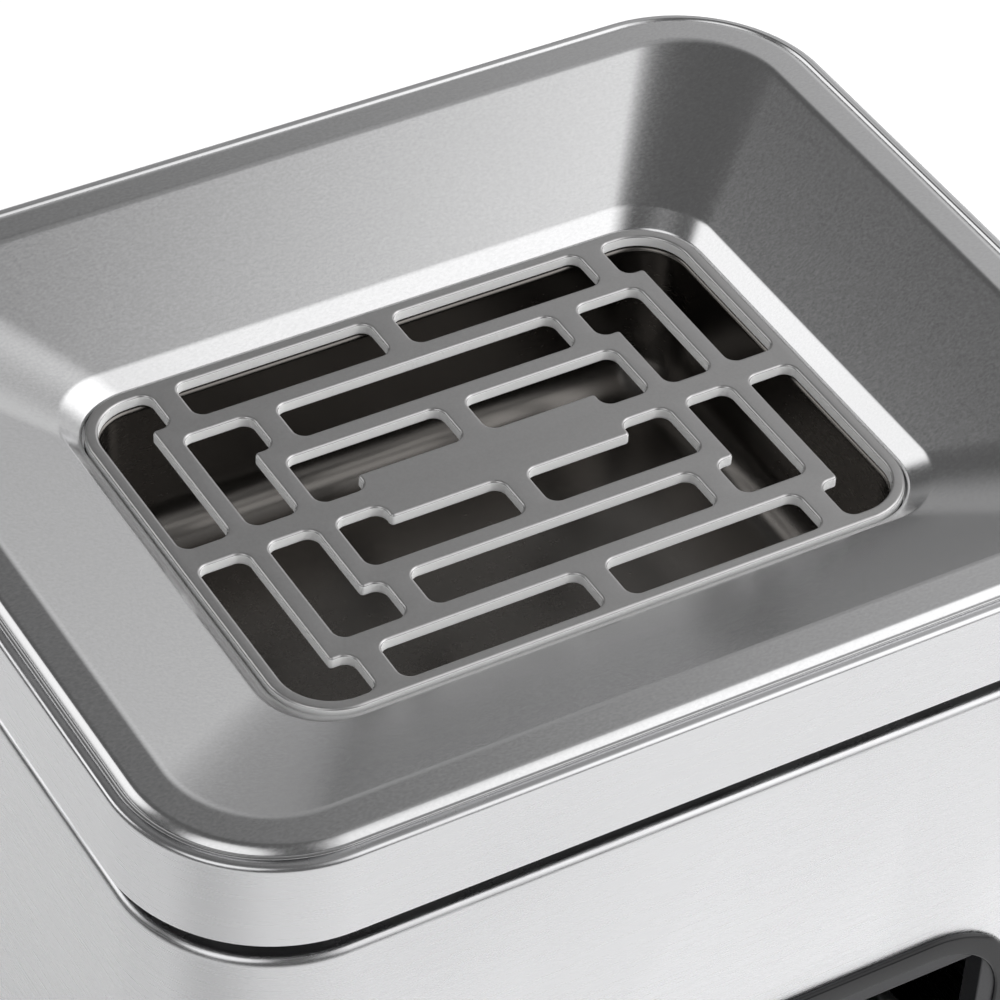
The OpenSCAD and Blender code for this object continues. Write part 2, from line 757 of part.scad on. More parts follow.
rubber_feet();
foot_screws();
foot_plates();
base_plinth();
base_floor();
floor_screws();
body_shell();
seam_strip();
seam_rivets();
top_collar();
collar_studs();
collar_nuts();
bezel_trim();
opening_frame();
frame_retainer();
retainer_screws();
cap_band();
dished_tray();
tray_clips();
clip_screws();
rest_pads();
locating_blocks();
grille_plate();
ash_pan();
liner_pail();
rim_wire();
pail_ears();
ear_rivets();
bail_wire();
bail_grip();
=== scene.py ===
"""The looks of a free-standing litter bin with a dished ash-tray top.

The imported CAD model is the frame. The pieces that show are rebuilt here as
fine meshes on the CAD's own sizes, and every CAD node that stays gets a
procedural material. Metres; +Z up; the window faces -Y.
"""

import math

import bmesh
import bpy
from mathutils import Matrix, Vector


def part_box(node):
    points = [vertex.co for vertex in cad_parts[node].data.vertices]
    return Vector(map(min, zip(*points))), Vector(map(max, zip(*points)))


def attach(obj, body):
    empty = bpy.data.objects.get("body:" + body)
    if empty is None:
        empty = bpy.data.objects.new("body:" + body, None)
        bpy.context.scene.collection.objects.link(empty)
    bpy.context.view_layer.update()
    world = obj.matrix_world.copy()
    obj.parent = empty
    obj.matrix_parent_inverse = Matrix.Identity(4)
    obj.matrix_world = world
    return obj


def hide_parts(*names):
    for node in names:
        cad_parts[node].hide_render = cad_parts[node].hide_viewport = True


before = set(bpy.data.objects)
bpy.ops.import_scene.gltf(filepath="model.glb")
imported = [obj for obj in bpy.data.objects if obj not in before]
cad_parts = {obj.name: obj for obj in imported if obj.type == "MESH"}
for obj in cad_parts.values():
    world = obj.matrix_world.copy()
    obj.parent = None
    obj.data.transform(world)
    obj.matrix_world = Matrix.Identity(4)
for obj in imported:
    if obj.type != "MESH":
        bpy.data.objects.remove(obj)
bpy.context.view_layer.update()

MM = 0.001
CORNER_STEPS = 28
STRAIGHT_AT = (0.012, 0.25, 0.5, 0.75, 0.988)   # extra points, as shares of a straight
LEAST_R = 0.01 * MM


# ---- sizes, from the CAD nodes' boxes ------------------------------------


def half(node):
    """Half length and half width of a node's box."""
    lo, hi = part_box(node)
    return (hi.x - lo.x) / 2, (hi.y - lo.y) / 2


def levels(node):
    """Lowest and highest height of a node."""
    lo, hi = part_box(node)
    return lo.z, hi.z


CAP_HL, CAP_HW = half("cap_band")
BAND_Z0, LEDGE_Z = levels("cap_band")
TRAY_HL, TRAY_HW = half("dished_tray")
RIM_Z = levels("dished_tray")[1]
GRILLE_HL, GRILLE_HW = half("grille_plate")
GRILLE_Z0, GRILLE_Z1 = levels("grille_plate")
PAN_Z0, PAN_Z1 = levels("ash_pan")
BODY_HL = half("body_shell")[0]
BODY_HW = -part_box("body_shell")[0].y
SHELL_Z0, SHELL_Z1 = levels("body_shell")
FACE_Y = -BODY_HW
PAIL_RIM_Z = levels("liner_pail")[1]
PAIL_Z0 = levels("liner_pail")[0]

CAP_R = 42 * MM
TRAY_R = CAP_R - (CAP_HL - TRAY_HL)
BODY_R = CAP_R - (CAP_HL - BODY_HL)
GRILLE_R = 17.4 * MM


# ---- mesh helpers --------------------------------------------------------


def corner_ring(hl, hw, r, z):
    """Points of a rounded rectangle at a height, anticlockwise, with extra points on the straights."""
    r = max(r, LEAST_R)
    corners = []
    for sx, sy, first in ((1, 1, 0), (-1, 1, 90), (-1, -1, 180), (1, -1, 270)):
        angles = (math.radians(first + 90 * i / CORNER_STEPS) for i in range(CORNER_STEPS + 1))
        corners.append([
            Vector((sx * (hl - r) + r * math.cos(a), sy * (hw - r) + r * math.sin(a), z)) for a in angles
        ])
    points = []
    for k, corner in enumerate(corners):
        start, end = corner[-1], corners[(k + 1) % 4][0]
        points += corner + [start.lerp(end, t) for t in STRAIGHT_AT]
    return points


def arc(cx, cz, r, first, last, n):
    """Points of an arc in a section, angles in degrees from straight out."""
    return [
        (cx + r * math.cos(math.radians(first + (last - first) * i / n)),
         cz + r * math.sin(math.radians(first + (last - first) * i / n)))
        for i in range(n + 1)
    ]


def new_piece(name, verts, faces, smooth=32):
    """A mesh object with merged points and outward faces, shaded smooth up to an angle."""
    mesh = bpy.data.meshes.new(name)
    mesh.from_pydata([tuple(v) for v in verts], [], faces)
    bm = bmesh.new()
    bm.from_mesh(mesh)
    bmesh.ops.remove_doubles(bm, verts=bm.verts, dist=1e-7)
    bmesh.ops.recalc_face_normals(bm, faces=bm.faces)
    bm.to_mesh(mesh)
    bm.free()
    piece = bpy.data.objects.new(name, mesh)
    bpy.context.scene.collection.objects.link(piece)
    shade(piece, smooth)
    return piece


def shade(piece, smooth=32):
    """Smooth shading that keeps real edges sharp and flat faces flat."""
    piece.data.shade_smooth()
    piece.data.set_sharp_from_angle(angle=math.radians(smooth))
    weighted = piece.modifiers.new("weighted", "WEIGHTED_NORMAL")
    weighted.keep_sharp = True
    weighted.weight = 90


def closed_rings(name, rings, smooth=32):
    """A solid whose section is a closed loop: the last ring joins the first."""
    n, m = len(rings[0]), len(rings)
    faces = []
    for i in range(m):
        k = (i + 1) % m
        for j in range(n):
            after = (j + 1) % n
            faces.append((i * n + j, i * n + after, k * n + after, k * n + j))
    return new_piece(name, [p for ring in rings for p in ring], faces, smooth)


def capped_rings(name, rings, smooth=32):
    """A solid from its first ring to its last, each closed by a flat face."""
    n, m = len(rings[0]), len(rings)
    faces = []
    for i in range(m - 1):
        for j in range(n):
            after = (j + 1) % n
            faces.append((i * n + j, i * n + after, (i + 1) * n + after, (i + 1) * n + j))
    faces.append(tuple(range(n)))
    faces.append(tuple((m - 1) * n + j for j in range(n)))
    return new_piece(name, [p for ring in rings for p in ring], faces, smooth)


def around(section, hl, hw, r):
    """Rings of a section of (offset outwards, height) run round a rounded rectangle."""
    return [corner_ring(hl + d, hw + d, r + d, z) for d, z in section]


def on_front(rings, height):
    """Rings drawn in plan, stood up in the front face at a height."""
    return [[Vector((p.x, FACE_Y - p.z, height + p.y)) for p in ring] for ring in rings]


def apply_modifiers(piece):
    """Makes a piece's modifiers part of its mesh."""
    evaluated = piece.evaluated_get(bpy.context.evaluated_depsgraph_get())
    mesh = bpy.data.meshes.new_from_object(evaluated)
    piece.modifiers.clear()
    piece.data = mesh


def cut(piece, cutters):
    """Cuts holes with closed meshes and removes the cutters."""
    for cutter in cutters:
        hole = piece.modifiers.new("hole", "BOOLEAN")
        hole.operation = "DIFFERENCE"
        hole.solver = "EXACT"
        hole.object = cutter
    bpy.context.view_layer.update()
    apply_modifiers(piece)
    for cutter in cutters:
        bpy.data.objects.remove(cutter)


def box_mesh(name, lo, hi):
    """A block between two corners."""
    x0, y0, z0 = lo
    x1, y1, z1 = hi
    verts = [(x0, y0, z0), (x1, y0, z0), (x1, y1, z0), (x0, y1, z0),
             (x0, y0, z1), (x1, y0, z1), (x1, y1, z1), (x0, y1, z1)]
    faces = [(0, 3, 2, 1), (4, 5, 6, 7), (0, 1, 5, 4), (1, 2, 6, 5), (2, 3, 7, 6), (3, 0, 4, 7)]
    return new_piece(name, verts, faces)


def lathe_x(name, profile, centre, steps=40):
    """A solid turned about a line along X: profile is a list of (x, radius)."""
    rings = []
    for x, radius in profile:
        rings.append([
            Vector((x, centre[0] + radius * math.cos(2 * math.pi * j / steps),
                    centre[1] + radius * math.sin(2 * math.pi * j / steps)))
            for j in range(steps)
        ])
    return capped_rings(name, rings)


# ---- materials -----------------------------------------------------------


EVEN = (1, 1, 1)
ALONG = (3, 3, 160)          # grain that runs level round an upright face
SPECK_SHARE = 0.35           # of fine specks in a metal's relief


class Nodes:
    """A short way to lay out a node tree."""

    def __init__(self, name):
        self.material = bpy.data.materials.new(name)
        self.material.use_nodes = True
        self.tree = self.material.node_tree
        self.shader = self.tree.nodes["Principled BSDF"]

    def node(self, kind, **values):
        made = self.tree.nodes.new(kind)
        for key, value in values.items():
            if key[0].isupper():
                made.inputs[key].default_value = value
            else:
                setattr(made, key, value)
        return made

    def link(self, source, target):
        self.tree.links.new(source, target)

    def noise(self, scale, size, detail=4.0, rough=0.55):
        """Noise in object space. scale is the stretch along each axis, size the cells in a metre."""
        coords = self.node("ShaderNodeTexCoord")
        mapping = self.node("ShaderNodeMapping")
        mapping.inputs["Scale"].default_value = scale
        self.link(coords.outputs["Object"], mapping.inputs["Vector"])
        noise = self.node("ShaderNodeTexNoise", Scale=size, Detail=detail, Roughness=rough)
        self.link(mapping.outputs["Vector"], noise.inputs["Vector"])
        return noise.outputs["Fac"]

    def ranged(self, value, low, high, from_low=0.3, from_high=0.7):
        """A value's range, stretched to low and high and held there."""
        mapped = self.node("ShaderNodeMapRange")
        mapped.inputs["From Min"].default_value = from_low
        mapped.inputs["From Max"].default_value = from_high
        mapped.inputs["To Min"].default_value = low
        mapped.inputs["To Max"].default_value = high
        self.link(value, mapped.inputs["Value"])
        return mapped.outputs["Result"]

    def maths(self, operation, a, b):
        made = self.node("ShaderNodeMath", operation=operation)
        for socket, value in zip(made.inputs, (a, b)):
            if isinstance(value, (int, float)):
                socket.default_value = value
            else:
                self.link(value, socket)
        return made.outputs["Value"]

    def mix(self, factor, a, b):
        made = self.node("ShaderNodeMix", data_type="RGBA")
        for socket, value in zip((made.inputs[0], made.inputs[6], made.inputs[7]), (factor, a, b)):
            if isinstance(value, (int, float)):
                socket.default_value = value
            elif isinstance(value, tuple):
                socket.default_value = (*value, 1)
            else:
                self.link(value, socket)
        return made.outputs[2]

    def bump(self, height, strength, distance):
        """Relief from a height, wired into the shader."""
        made = self.node("ShaderNodeBump", Strength=strength, Distance=distance)
        self.link(height, made.inputs["Height"])
        self.link(made.outputs["Normal"], self.shader.inputs["Normal"])

    def edges(self, low=0.505, high=0.56):
        """1 on convex edges, 0 elsewhere."""
        geometry = self.node("ShaderNodeNewGeometry")
        return self.ranged(geometry.outputs["Pointiness"], 0.0, 1.0, low, high)


def metal(name, colour, rough, grain, size, grain_rough=0.08, bump=0.12, depth=0.00004,
          anisotropic=0.0, smudge=0.05, tint=0.06, edge=0.12, metallic=1.0):
    """Steel with a directional grain, soft smudges and brighter worn edges."""
    n = Nodes(name)
    fine = n.noise(grain, size, detail=6.0, rough=0.6)
    cloud = n.noise(EVEN, 9.0, detail=3.0)
    speck = n.noise(EVEN, 1400.0, detail=2.0)
    dark = tuple(c * (1 - tint) for c in colour)
    light = tuple(min(1.0, c * (1 + tint)) for c in colour)
    body = n.mix(n.ranged(fine, 0.0, 1.0), dark, light)
    body = n.mix(n.ranged(cloud, 0.0, 0.35), body, dark)
    worn = tuple(min(1.0, c * (1 + edge)) for c in colour)
    n.link(n.mix(n.edges(), body, worn), n.shader.inputs["Base Color"])
    roughness = n.maths("ADD", n.ranged(fine, rough - grain_rough, rough + grain_rough),
                        n.ranged(cloud, -smudge, smudge))
    n.link(n.maths("MAXIMUM", roughness, 0.04), n.shader.inputs["Roughness"])
    relief = n.maths("ADD", fine, n.maths("MULTIPLY", speck, SPECK_SHARE))
    n.bump(relief, bump, depth)
    n.shader.inputs["Metallic"].default_value = metallic
    n.shader.inputs["Anisotropic"].default_value = anisotropic
    if anisotropic:
        tangent = n.node("ShaderNodeTangent", direction_type="RADIAL", axis="Z")
        n.link(tangent.outputs["Tangent"], n.shader.inputs["Tangent"])
        n.shader.inputs["Anisotropic Rotation"].default_value = 0.25
    return n.material


def plastic(name, colour, rough, size=900.0, bump=0.1, depth=0.00008, dust=0.25, ior=1.5):
    """Moulded plastic or rubber: fine texture, dust in patches, paler scuffed edges."""
    n = Nodes(name)
    grain = n.noise(EVEN, size, detail=4.0)
    cloud = n.noise(EVEN, 14.0, detail=5.0)
    pale = tuple(min(1.0, c * 1.9 + 0.012) for c in colour)
    body = n.mix(n.ranged(cloud, 0.0, dust, 0.45, 0.75), colour, pale)
    n.link(n.mix(n.ranged(n.edges(), 0.0, 0.5, 0.0, 1.0), body, pale), n.shader.inputs["Base Color"])
    roughness = n.maths("ADD", n.ranged(grain, rough - 0.05, rough + 0.05), n.ranged(cloud, 0.0, 0.1))
    n.link(n.maths("MAXIMUM", roughness, 0.03), n.shader.inputs["Roughness"])
    n.bump(grain, bump, depth)
    n.shader.inputs["IOR"].default_value = ior
    return n.material


def zinc(name):
    """Galvanised sheet with a faint crystal pattern."""
    n = Nodes(name)
    coords = n.node("ShaderNodeTexCoord")
    cells = n.node("ShaderNodeTexVoronoi", Scale=70.0)
    n.link(coords.outputs["Object"], cells.inputs["Vector"])
    separate = n.node("ShaderNodeSeparateColor")
    n.link(cells.outputs["Color"], separate.inputs["Color"])
    cloud = n.noise(EVEN, 11.0, detail=4.0)
    scratch = n.noise((6, 6, 90), 14.0, detail=5.0)
    body = n.mix(separate.outputs["Red"], (0.40, 0.41, 0.41), (0.53, 0.54, 0.545))
    body = n.mix(n.ranged(cloud, 0.0, 0.4), body, (0.36, 0.36, 0.355))
    n.link(n.mix(n.edges(), body, (0.66, 0.67, 0.67)), n.shader.inputs["Base Color"])
    rough = n.maths("ADD", n.ranged(separate.outputs["Green"], 0.3, 0.44, 0.0, 1.0),
                    n.ranged(scratch, -0.04, 0.06))
    n.link(rough, n.shader.inputs["Roughness"])
    n.bump(n.maths("ADD", scratch, separate.outputs["Blue"]), 0.08, 0.00006)
    n.shader.inputs["Metallic"].default_value = 1.0
    return n.material


MATERIALS = {
    "brushed_sleeve": metal("brushed_sleeve", (0.66, 0.66, 0.67), 0.26, ALONG, 14.0,
                            anisotropic=0.65, bump=0.06, depth=0.00002, tint=0.04, smudge=0.03),
    "brushed_cap": metal("brushed_cap", (0.66, 0.66, 0.67), 0.24, ALONG, 14.0,
                         anisotropic=0.5, bump=0.05, depth=0.00002, tint=0.04, smudge=0.03),
    "satin_tray": metal("satin_tray", (0.62, 0.62, 0.625), 0.20, (1, 1.8, 1.8), 900.0,
                        bump=0.10, depth=0.00003, grain_rough=0.03, tint=0.08, smudge=0.015),
    "grille_steel": metal("grille_steel", (0.51, 0.505, 0.505), 0.34, EVEN, 1300.0,
                          grain_rough=0.03, bump=0.10, depth=0.00003, tint=0.06, smudge=0.02),
    # The ash pan's steel is given a near-black colour: painted shade for the dark under the grille, not
    # the steel's own tone.
    "pan_steel": metal("pan_steel", (0.17, 0.16, 0.15), 0.26, (1, 1, 3), 300.0,
                       bump=0.03, depth=0.00001, grain_rough=0.02, smudge=0.03, tint=0.04),
    "inner_steel": metal("inner_steel", (0.52, 0.525, 0.53), 0.38, ALONG, 10.0, bump=0.08),
    "zinc_fixings": metal("zinc_fixings", (0.60, 0.60, 0.585), 0.30, EVEN, 700.0,
                          bump=0.12, edge=0.2),
    "bail_steel": metal("bail_steel", (0.58, 0.585, 0.59), 0.26, (120, 8, 120), 10.0, bump=0.1),
    "pail_zinc": zinc("pail_zinc"),
    "black_plastic": plastic("black_plastic", (0.014, 0.0145, 0.016), 0.42),
    "black_collar": plastic("black_collar", (0.010, 0.010, 0.011), 0.36),
    "gloss_black": plastic("gloss_black", (0.006, 0.006, 0.007), 0.10, size=500.0, bump=0.03,
                           dust=0.08, ior=1.36),
    "satin_black": plastic("satin_black", (0.024, 0.024, 0.026), 0.36, size=1300.0, bump=0.14,
                           dust=0.15, ior=1.4),
    "foot_rubber": plastic("foot_rubber", (0.016, 0.016, 0.016), 0.62, size=700.0, bump=0.25,
                           dust=0.5, ior=1.45),
}
# The slot walls get a near-white matt colour in place of the grille's steel: a painted sheen that stands
# in for the bright reflection the walls show.
PAINTED_WALL_SHEEN = metal("slot_wall_painted_sheen", (0.94, 0.94, 0.935), 0.30, EVEN, 300.0,
                 grain_rough=0.02, bump=0.01, depth=0.00001, tint=0.015, smudge=0.02, metallic=0.0)


def paint(piece, slot):
    """Gives a piece one finish, the material listed under its slot."""
    piece.data.materials.clear()
    piece.data.materials.append(MATERIALS[slot])


def finish_piece(piece, body, slot, *nodes):
    """Rides a new piece on its body, in the place of CAD nodes, with its finish."""
    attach(piece, body)
    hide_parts(*nodes)
    paint(piece, slot)
    return piece


# ---- cap -----------------------------------------------------------------

# In the sections below, short steps of 0.2 to 3 mm beside a bend keep the flat stretches flat.

BAND_T = 1.2 * MM
BAND_EDGE_R = 1.4 * MM
LEDGE_IN = 14.0 * MM
HEM_R = 0.45 * MM

band_section = (
    [(-BAND_T, BAND_Z0 + HEM_R)]
    + arc(-BAND_T + HEM_R, BAND_Z0 + HEM_R, HEM_R, 180, 270, 4)[1:]
    + arc(-HEM_R, BAND_Z0 + HEM_R, HEM_R, 270, 360, 4)
    + [(0, BAND_Z0 + 1.2 * MM), (0, LEDGE_Z - BAND_EDGE_R - 0.4 * MM)]
    + arc(-BAND_EDGE_R, LEDGE_Z - BAND_EDGE_R, BAND_EDGE_R, 0, 90, 8)
    + [(-BAND_EDGE_R - 0.4 * MM, LEDGE_Z), (-LEDGE_IN + 0.3 * MM, LEDGE_Z)]
    + [(-LEDGE_IN, LEDGE_Z - 0.3 * MM), (-LEDGE_IN, LEDGE_Z - BAND_T)]
    + [(-BAND_T - 0.8 * MM, LEDGE_Z - BAND_T), (-BAND_T, LEDGE_Z - BAND_T - 0.8 * MM)]
)
finish_piece(closed_rings("cap_outer_band", around(band_section, CAP_HL, CAP_HW, CAP_R)),
             "cap", "brushed_cap", "cap_band")

# The tray's section: d is the distance in from its edge, h the height from the rim. Slopes are
# in degrees from level: the dish, then the band around the grille, then the turn down to the seat.
RIM_W = 10.3 * MM
DISH_SLOPE = 26
RIM_BEND_R = 5 * MM
RING_SLOPE = 40
RING_W = 5.6 * MM
RING_BEND_R = 5 * MM
TURN_R = 1.6 * MM
TURN_END = 85
LIP_H = 3.4 * MM
TRAY_T = 1.15 * MM
TRAY_RISE = RIM_Z - LEDGE_Z
BEAD_IN = 0.7 * MM
BEAD_W = 2.5 * MM
BEAD_H = TRAY_RISE - 0.35 * MM
SEAT_DROP = RIM_Z - GRILLE_Z0 + 1.0 * MM
GRILLE_GAP = 0.7 * MM
SEAT_W = 3.2 * MM
step_d = TRAY_HL - GRILLE_HL - GRILLE_GAP
step_r = GRILLE_R + GRILLE_GAP
hole_d = step_d + SEAT_W


def point_on(centre, r, angle):
    """A point of a bend in the tray's section, its angle from straight up, turning inwards."""
    a = math.radians(angle)
    return centre[0] + r * math.sin(a), centre[1] + r * math.cos(a)


def fold(centre, r, first, last, n):
    """The points of such a bend, from its first angle to its last."""
    return [point_on(centre, r, first + (last - first) * i / n) for i in range(n + 1)]


dish_tan = math.tan(math.radians(DISH_SLOPE))
ring_tan = math.tan(math.radians(RING_SLOPE))
rim_centre = (RIM_W, -RIM_BEND_R)
rim_bend_end = point_on(rim_centre, RIM_BEND_R, DISH_SLOPE)
ring_d = step_d + GRILLE_GAP - RING_W
ring_h = rim_bend_end[1] - dish_tan * (ring_d - rim_bend_end[0])
ring_t = RING_BEND_R * math.tan(math.radians(RING_SLOPE - DISH_SLOPE) / 2)
ring_start = point_on((ring_d, ring_h), -ring_t, 90 + DISH_SLOPE)
ring_centre = point_on(ring_start, -RING_BEND_R, DISH_SLOPE)
turn_d = step_d - TURN_R * math.sin(math.radians(TURN_END))
turn_start_d = turn_d + TURN_R * math.sin(math.radians(RING_SLOPE))
turn_h = ring_h - ring_tan * (turn_start_d - ring_d) - TURN_R * math.cos(math.radians(RING_SLOPE))
turn_centre = (turn_d, turn_h)


def dish_radius(d):
    """Corner radius in plan at a distance in from the tray's edge."""
    if d <= RIM_W:
        return TRAY_R - d
    if d <= step_d:
        t = (d - RIM_W) / (step_d - RIM_W)
        return (TRAY_R - RIM_W) * (1 - t) + step_r * t
    return step_r - (d - step_d)


def between(a, b, shares):
    """Points on the line from a to b, at shares of its length."""
    return [(a[0] + (b[0] - a[0]) * t, a[1] + (b[1] - a[1]) * t) for t in shares]


def dish_side(off):
    """The sheet's seen side (off = 0) or hidden side, from the rim to the turned-down hole edge."""
    rim = fold(rim_centre, RIM_BEND_R - off, 0, DISH_SLOPE, 8)
    ring = fold(ring_centre, RING_BEND_R - off, DISH_SLOPE, RING_SLOPE, 8)
    turn = fold(turn_centre, TURN_R - off, RING_SLOPE, TURN_END, 8)
    return (
        rim
        + between(rim[-1], ring[0], (0.02, 0.2, 0.4, 0.6, 0.8, 0.98))
        + ring
        + between(ring[-1], turn[0], (0.1, 0.5, 0.9))
        + turn
        + [(step_d - off, -SEAT_DROP - off)]
        + fold((hole_d - TRAY_T, -SEAT_DROP - TRAY_T), TRAY_T - off, 0, 90, 5)
        + [(hole_d - off, -SEAT_DROP - TRAY_T - LIP_H)]
    )


# The thin outer lip, in mm: distance in from the tray's edge, and height over the cap's ledge.
LIP = ((0.1, 0.02), (-0.5, 0.06), (-0.7, 0.3), (-0.68, 0.6),
       (-0.46, 0.86), (-0.1, 0.92), (0.3, 0.74), (0.6, 0.42))
# The bead, in shares of its width and depth: a nearly even slope, eased at both ends.
BEAD_SLOPE = ((0.0, 1.0), (0.1, 0.82), (0.28, 0.58), (0.48, 0.34), (0.68, 0.14), (0.85, 0.03), (1.0, 0.0))

edge_lip = [(d * MM, rise * MM - TRAY_RISE) for d, rise in LIP]
bead = [(BEAD_IN + across * BEAD_W, -down * BEAD_H) for across, down in BEAD_SLOPE]
under = list(reversed(dish_side(TRAY_T)))
dish_section = (
    edge_lip
    + bead
    + [(BEAD_IN + BEAD_W + 0.5 * MM, 0.0), (RIM_W - 0.5 * MM, 0.0)]
    + dish_side(0)
    + under
    + [(BEAD_IN + BEAD_W, -TRAY_T), (BEAD_IN + 0.6 * MM, -TRAY_RISE + 0.02 * MM)]
)
dish_rings = [
    corner_ring(TRAY_HL - d, TRAY_HW - d, dish_radius(d), RIM_Z + h) for d, h in dish_section
]
finish_piece(closed_rings("dished_ash_tray", dish_rings, 40), "cap", "satin_tray", "dished_tray")


# ---- grille --------------------------------------------------------------

# The slots' sizes are in mm up to the finished outline.
SLOT_W = 13.7
BAR_W = 5.5
FIELD_L, FIELD_W, FIELD_R = 174.0, 122.0, 13.8
MID_BAR = 3.6
SLOT_R = 3.2
INNER_R = 1.1
SHORT_LEG = 5.8
BREAK_GAP = 3.5
ROW_GAP = 7.1
EDGE_R = 0.75
WALL_NORMAL = 0.25           # a face whose normal rises less than this is a slot's wall


def rounded_polygon(corners):
    """Points of a polygon in mm whose corners are (x, y, radius), anticlockwise."""
    points = []
    count = len(corners)
    for i, (x, y, r) in enumerate(corners):
        here = Vector((x, y))
        back = (Vector(corners[i - 1][:2]) - here).normalized()
        ahead = (Vector(corners[(i + 1) % count][:2]) - here).normalized()
        start, end = here + back * r, here + ahead * r
        centre = here + (back + ahead) * r
        a0 = math.atan2(start.y - centre.y, start.x - centre.x)
        turn = math.atan2(end.y - centre.y, end.x - centre.x) - a0
        turn = (turn + math.pi) % (2 * math.pi) - math.pi
        steps = 12 if r < 6 else 20
        angles = (a0 + turn * k / steps for k in range(steps + 1))
        points += [(centre.x + r * math.cos(a), centre.y + r * math.sin(a)) for a in angles]
    return points


def field_x(k):
    """Outer edge of ring k of the slots, along X."""
    return FIELD_L / 2 - k * (SLOT_W + BAR_W)


def field_y(k):
    """Outer edge of ring k of the slots, along Y."""
    return FIELD_W / 2 - k * (SLOT_W + BAR_W)


def box_corners(x0, y0, x1, y1):
    """A straight slot."""
    return [(x0, y0, SLOT_R), (x1, y0, SLOT_R), (x1, y1, SLOT_R), (x0, y1, SLOT_R)]


def corner_slot(k, outer_r):
    """The slot with a short leg at a corner of ring k."""
    x, y = field_x(k), field_y(k)
    return [
        (x - SLOT_W, MID_BAR, SLOT_R), (x, MID_BAR, SLOT_R), (x, y, outer_r),
        (x - SLOT_W - SHORT_LEG, y, SLOT_R), (x - SLOT_W - SHORT_LEG, y - SLOT_W, SLOT_R),
        (x - SLOT_W, y - SLOT_W, INNER_R),
    ]


def row_end(k):
    """Where a straight slot of ring k ends, short of the corner slot's leg."""
    return field_x(k) - SLOT_W - SHORT_LEG - ROW_GAP


def inner_slot():
    """The innermost slot: a row with a leg down its outer end."""
    x, y = field_x(2), field_y(2)
    return [
        (BREAK_GAP, y - SLOT_W, SLOT_R), (x - SLOT_W, y - SLOT_W, INNER_R), (x - SLOT_W, MID_BAR, SLOT_R),
        (x, MID_BAR, SLOT_R), (x, y, SLOT_R), (BREAK_GAP, y, SLOT_R),
    ]


def grille_slots():
    """The corners of all 18 slots."""
    quarter = [
        corner_slot(0, FIELD_R),
        box_corners(BREAK_GAP, field_y(0) - SLOT_W, row_end(0), field_y(0)),
        corner_slot(1, SLOT_R),
        inner_slot(),
    ]
    slots = [
        [(sx * x, sy * y, r) for x, y, r in corners]
        for corners in quarter for sx in (1, -1) for sy in (1, -1)
    ]
    middle_row = box_corners(-row_end(1), field_y(1) - SLOT_W, row_end(1), field_y(1))
    return slots + [[(x, sy * y, r) for x, y, r in middle_row] for sy in (1, -1)]


def grille_piece():
    """The plate, as one filled outline with holes, raised and rounded along every edge."""
    curve = bpy.data.curves.new("slotted_grille", "CURVE")
    curve.dimensions = "2D"
    curve.fill_mode = "BOTH"
    thickness = GRILLE_Z1 - GRILLE_Z0
    curve.extrude = thickness / 2 - EDGE_R * MM
    curve.bevel_depth = EDGE_R * MM
    curve.bevel_resolution = 3
    curve.offset = -EDGE_R * MM
    hl, hw, r = GRILLE_HL / MM, GRILLE_HW / MM, GRILLE_R / MM
    outlines = [[(hl, -hw, r), (hl, hw, r), (-hl, hw, r), (-hl, -hw, r)]] + grille_slots()
    for corners in outlines:
        points = rounded_polygon(corners)
        spline = curve.splines.new("POLY")
        spline.points.add(len(points) - 1)
        for target, (x, y) in zip(spline.points, points):
            target.co = (x * MM, y * MM, 0, 1)
        spline.use_cyclic_u = True
    shape = bpy.data.objects.new("slotted_grille", curve)
    bpy.context.scene.collection.objects.link(shape)
    bpy.context.view_layer.update()
    mesh = bpy.data.meshes.new_from_object(shape.evaluated_get(bpy.context.evaluated_depsgraph_get()))
    bpy.data.objects.remove(shape)
    middle = (GRILLE_Z0 + GRILLE_Z1) / 2
    bm = bmesh.new()
    bm.from_mesh(mesh)
    bmesh.ops.remove_doubles(bm, verts=bm.verts, dist=1e-6)
    bmesh.ops.recalc_face_normals(bm, faces=bm.faces)
    bmesh.ops.translate(bm, verts=bm.verts, vec=(0, 0, middle))
    bm.to_mesh(mesh)
    bm.free()
    mesh.materials.clear()
    piece = bpy.data.objects.new("slotted_grille", mesh)
    bpy.context.scene.collection.objects.link(piece)
    shade(piece, 40)
    return piece


grille = finish_piece(grille_piece(), "grille", "grille_steel", "grille_plate")
# The faces of the slot walls take the near-white painted sheen.
grille.data.materials.append(PAINTED_WALL_SHEEN)
for face in grille.data.polygons:
    face.material_index = 1 if abs(face.normal.z) < WALL_NORMAL else 0


# ---- ash pan -------------------------------------------------------------

PAN_T = 0.8 * MM
PAN_BEND_R = 12 * MM
PAN_GAP = 0.6 * MM
PAN_HL = TRAY_HL - hole_d - PAN_GAP
PAN_HW = TRAY_HW - hole_d - PAN_GAP
PAN_R = step_r - SEAT_W - PAN_GAP
PAN_LIP = GRILLE_HL - PAN_HL
bend_out = PAN_BEND_R + PAN_T
bend_z = PAN_Z0 + bend_out
pan_section = (
    arc(-bend_out, bend_z, bend_out, 270, 360, 12)
    + [(0, bend_z + 1 * MM), (0, PAN_Z1 - PAN_T - 1 * MM), (0, PAN_Z1 - PAN_T)]
    + [(PAN_LIP - 0.2 * MM, PAN_Z1 - PAN_T), (PAN_LIP, PAN_Z1 - PAN_T / 2)]
    + [(PAN_LIP - 0.2 * MM, PAN_Z1), (0.8 * MM, PAN_Z1)]
    + arc(0.4 * MM, PAN_Z1 - 1.2 * MM, 1.2 * MM, 90, 180, 5)
    + [(-PAN_T, PAN_Z1 - 2.4 * MM), (-PAN_T, bend_z + 1 * MM)]
    + arc(-bend_out, bend_z, PAN_BEND_R, 360, 270, 12)
)
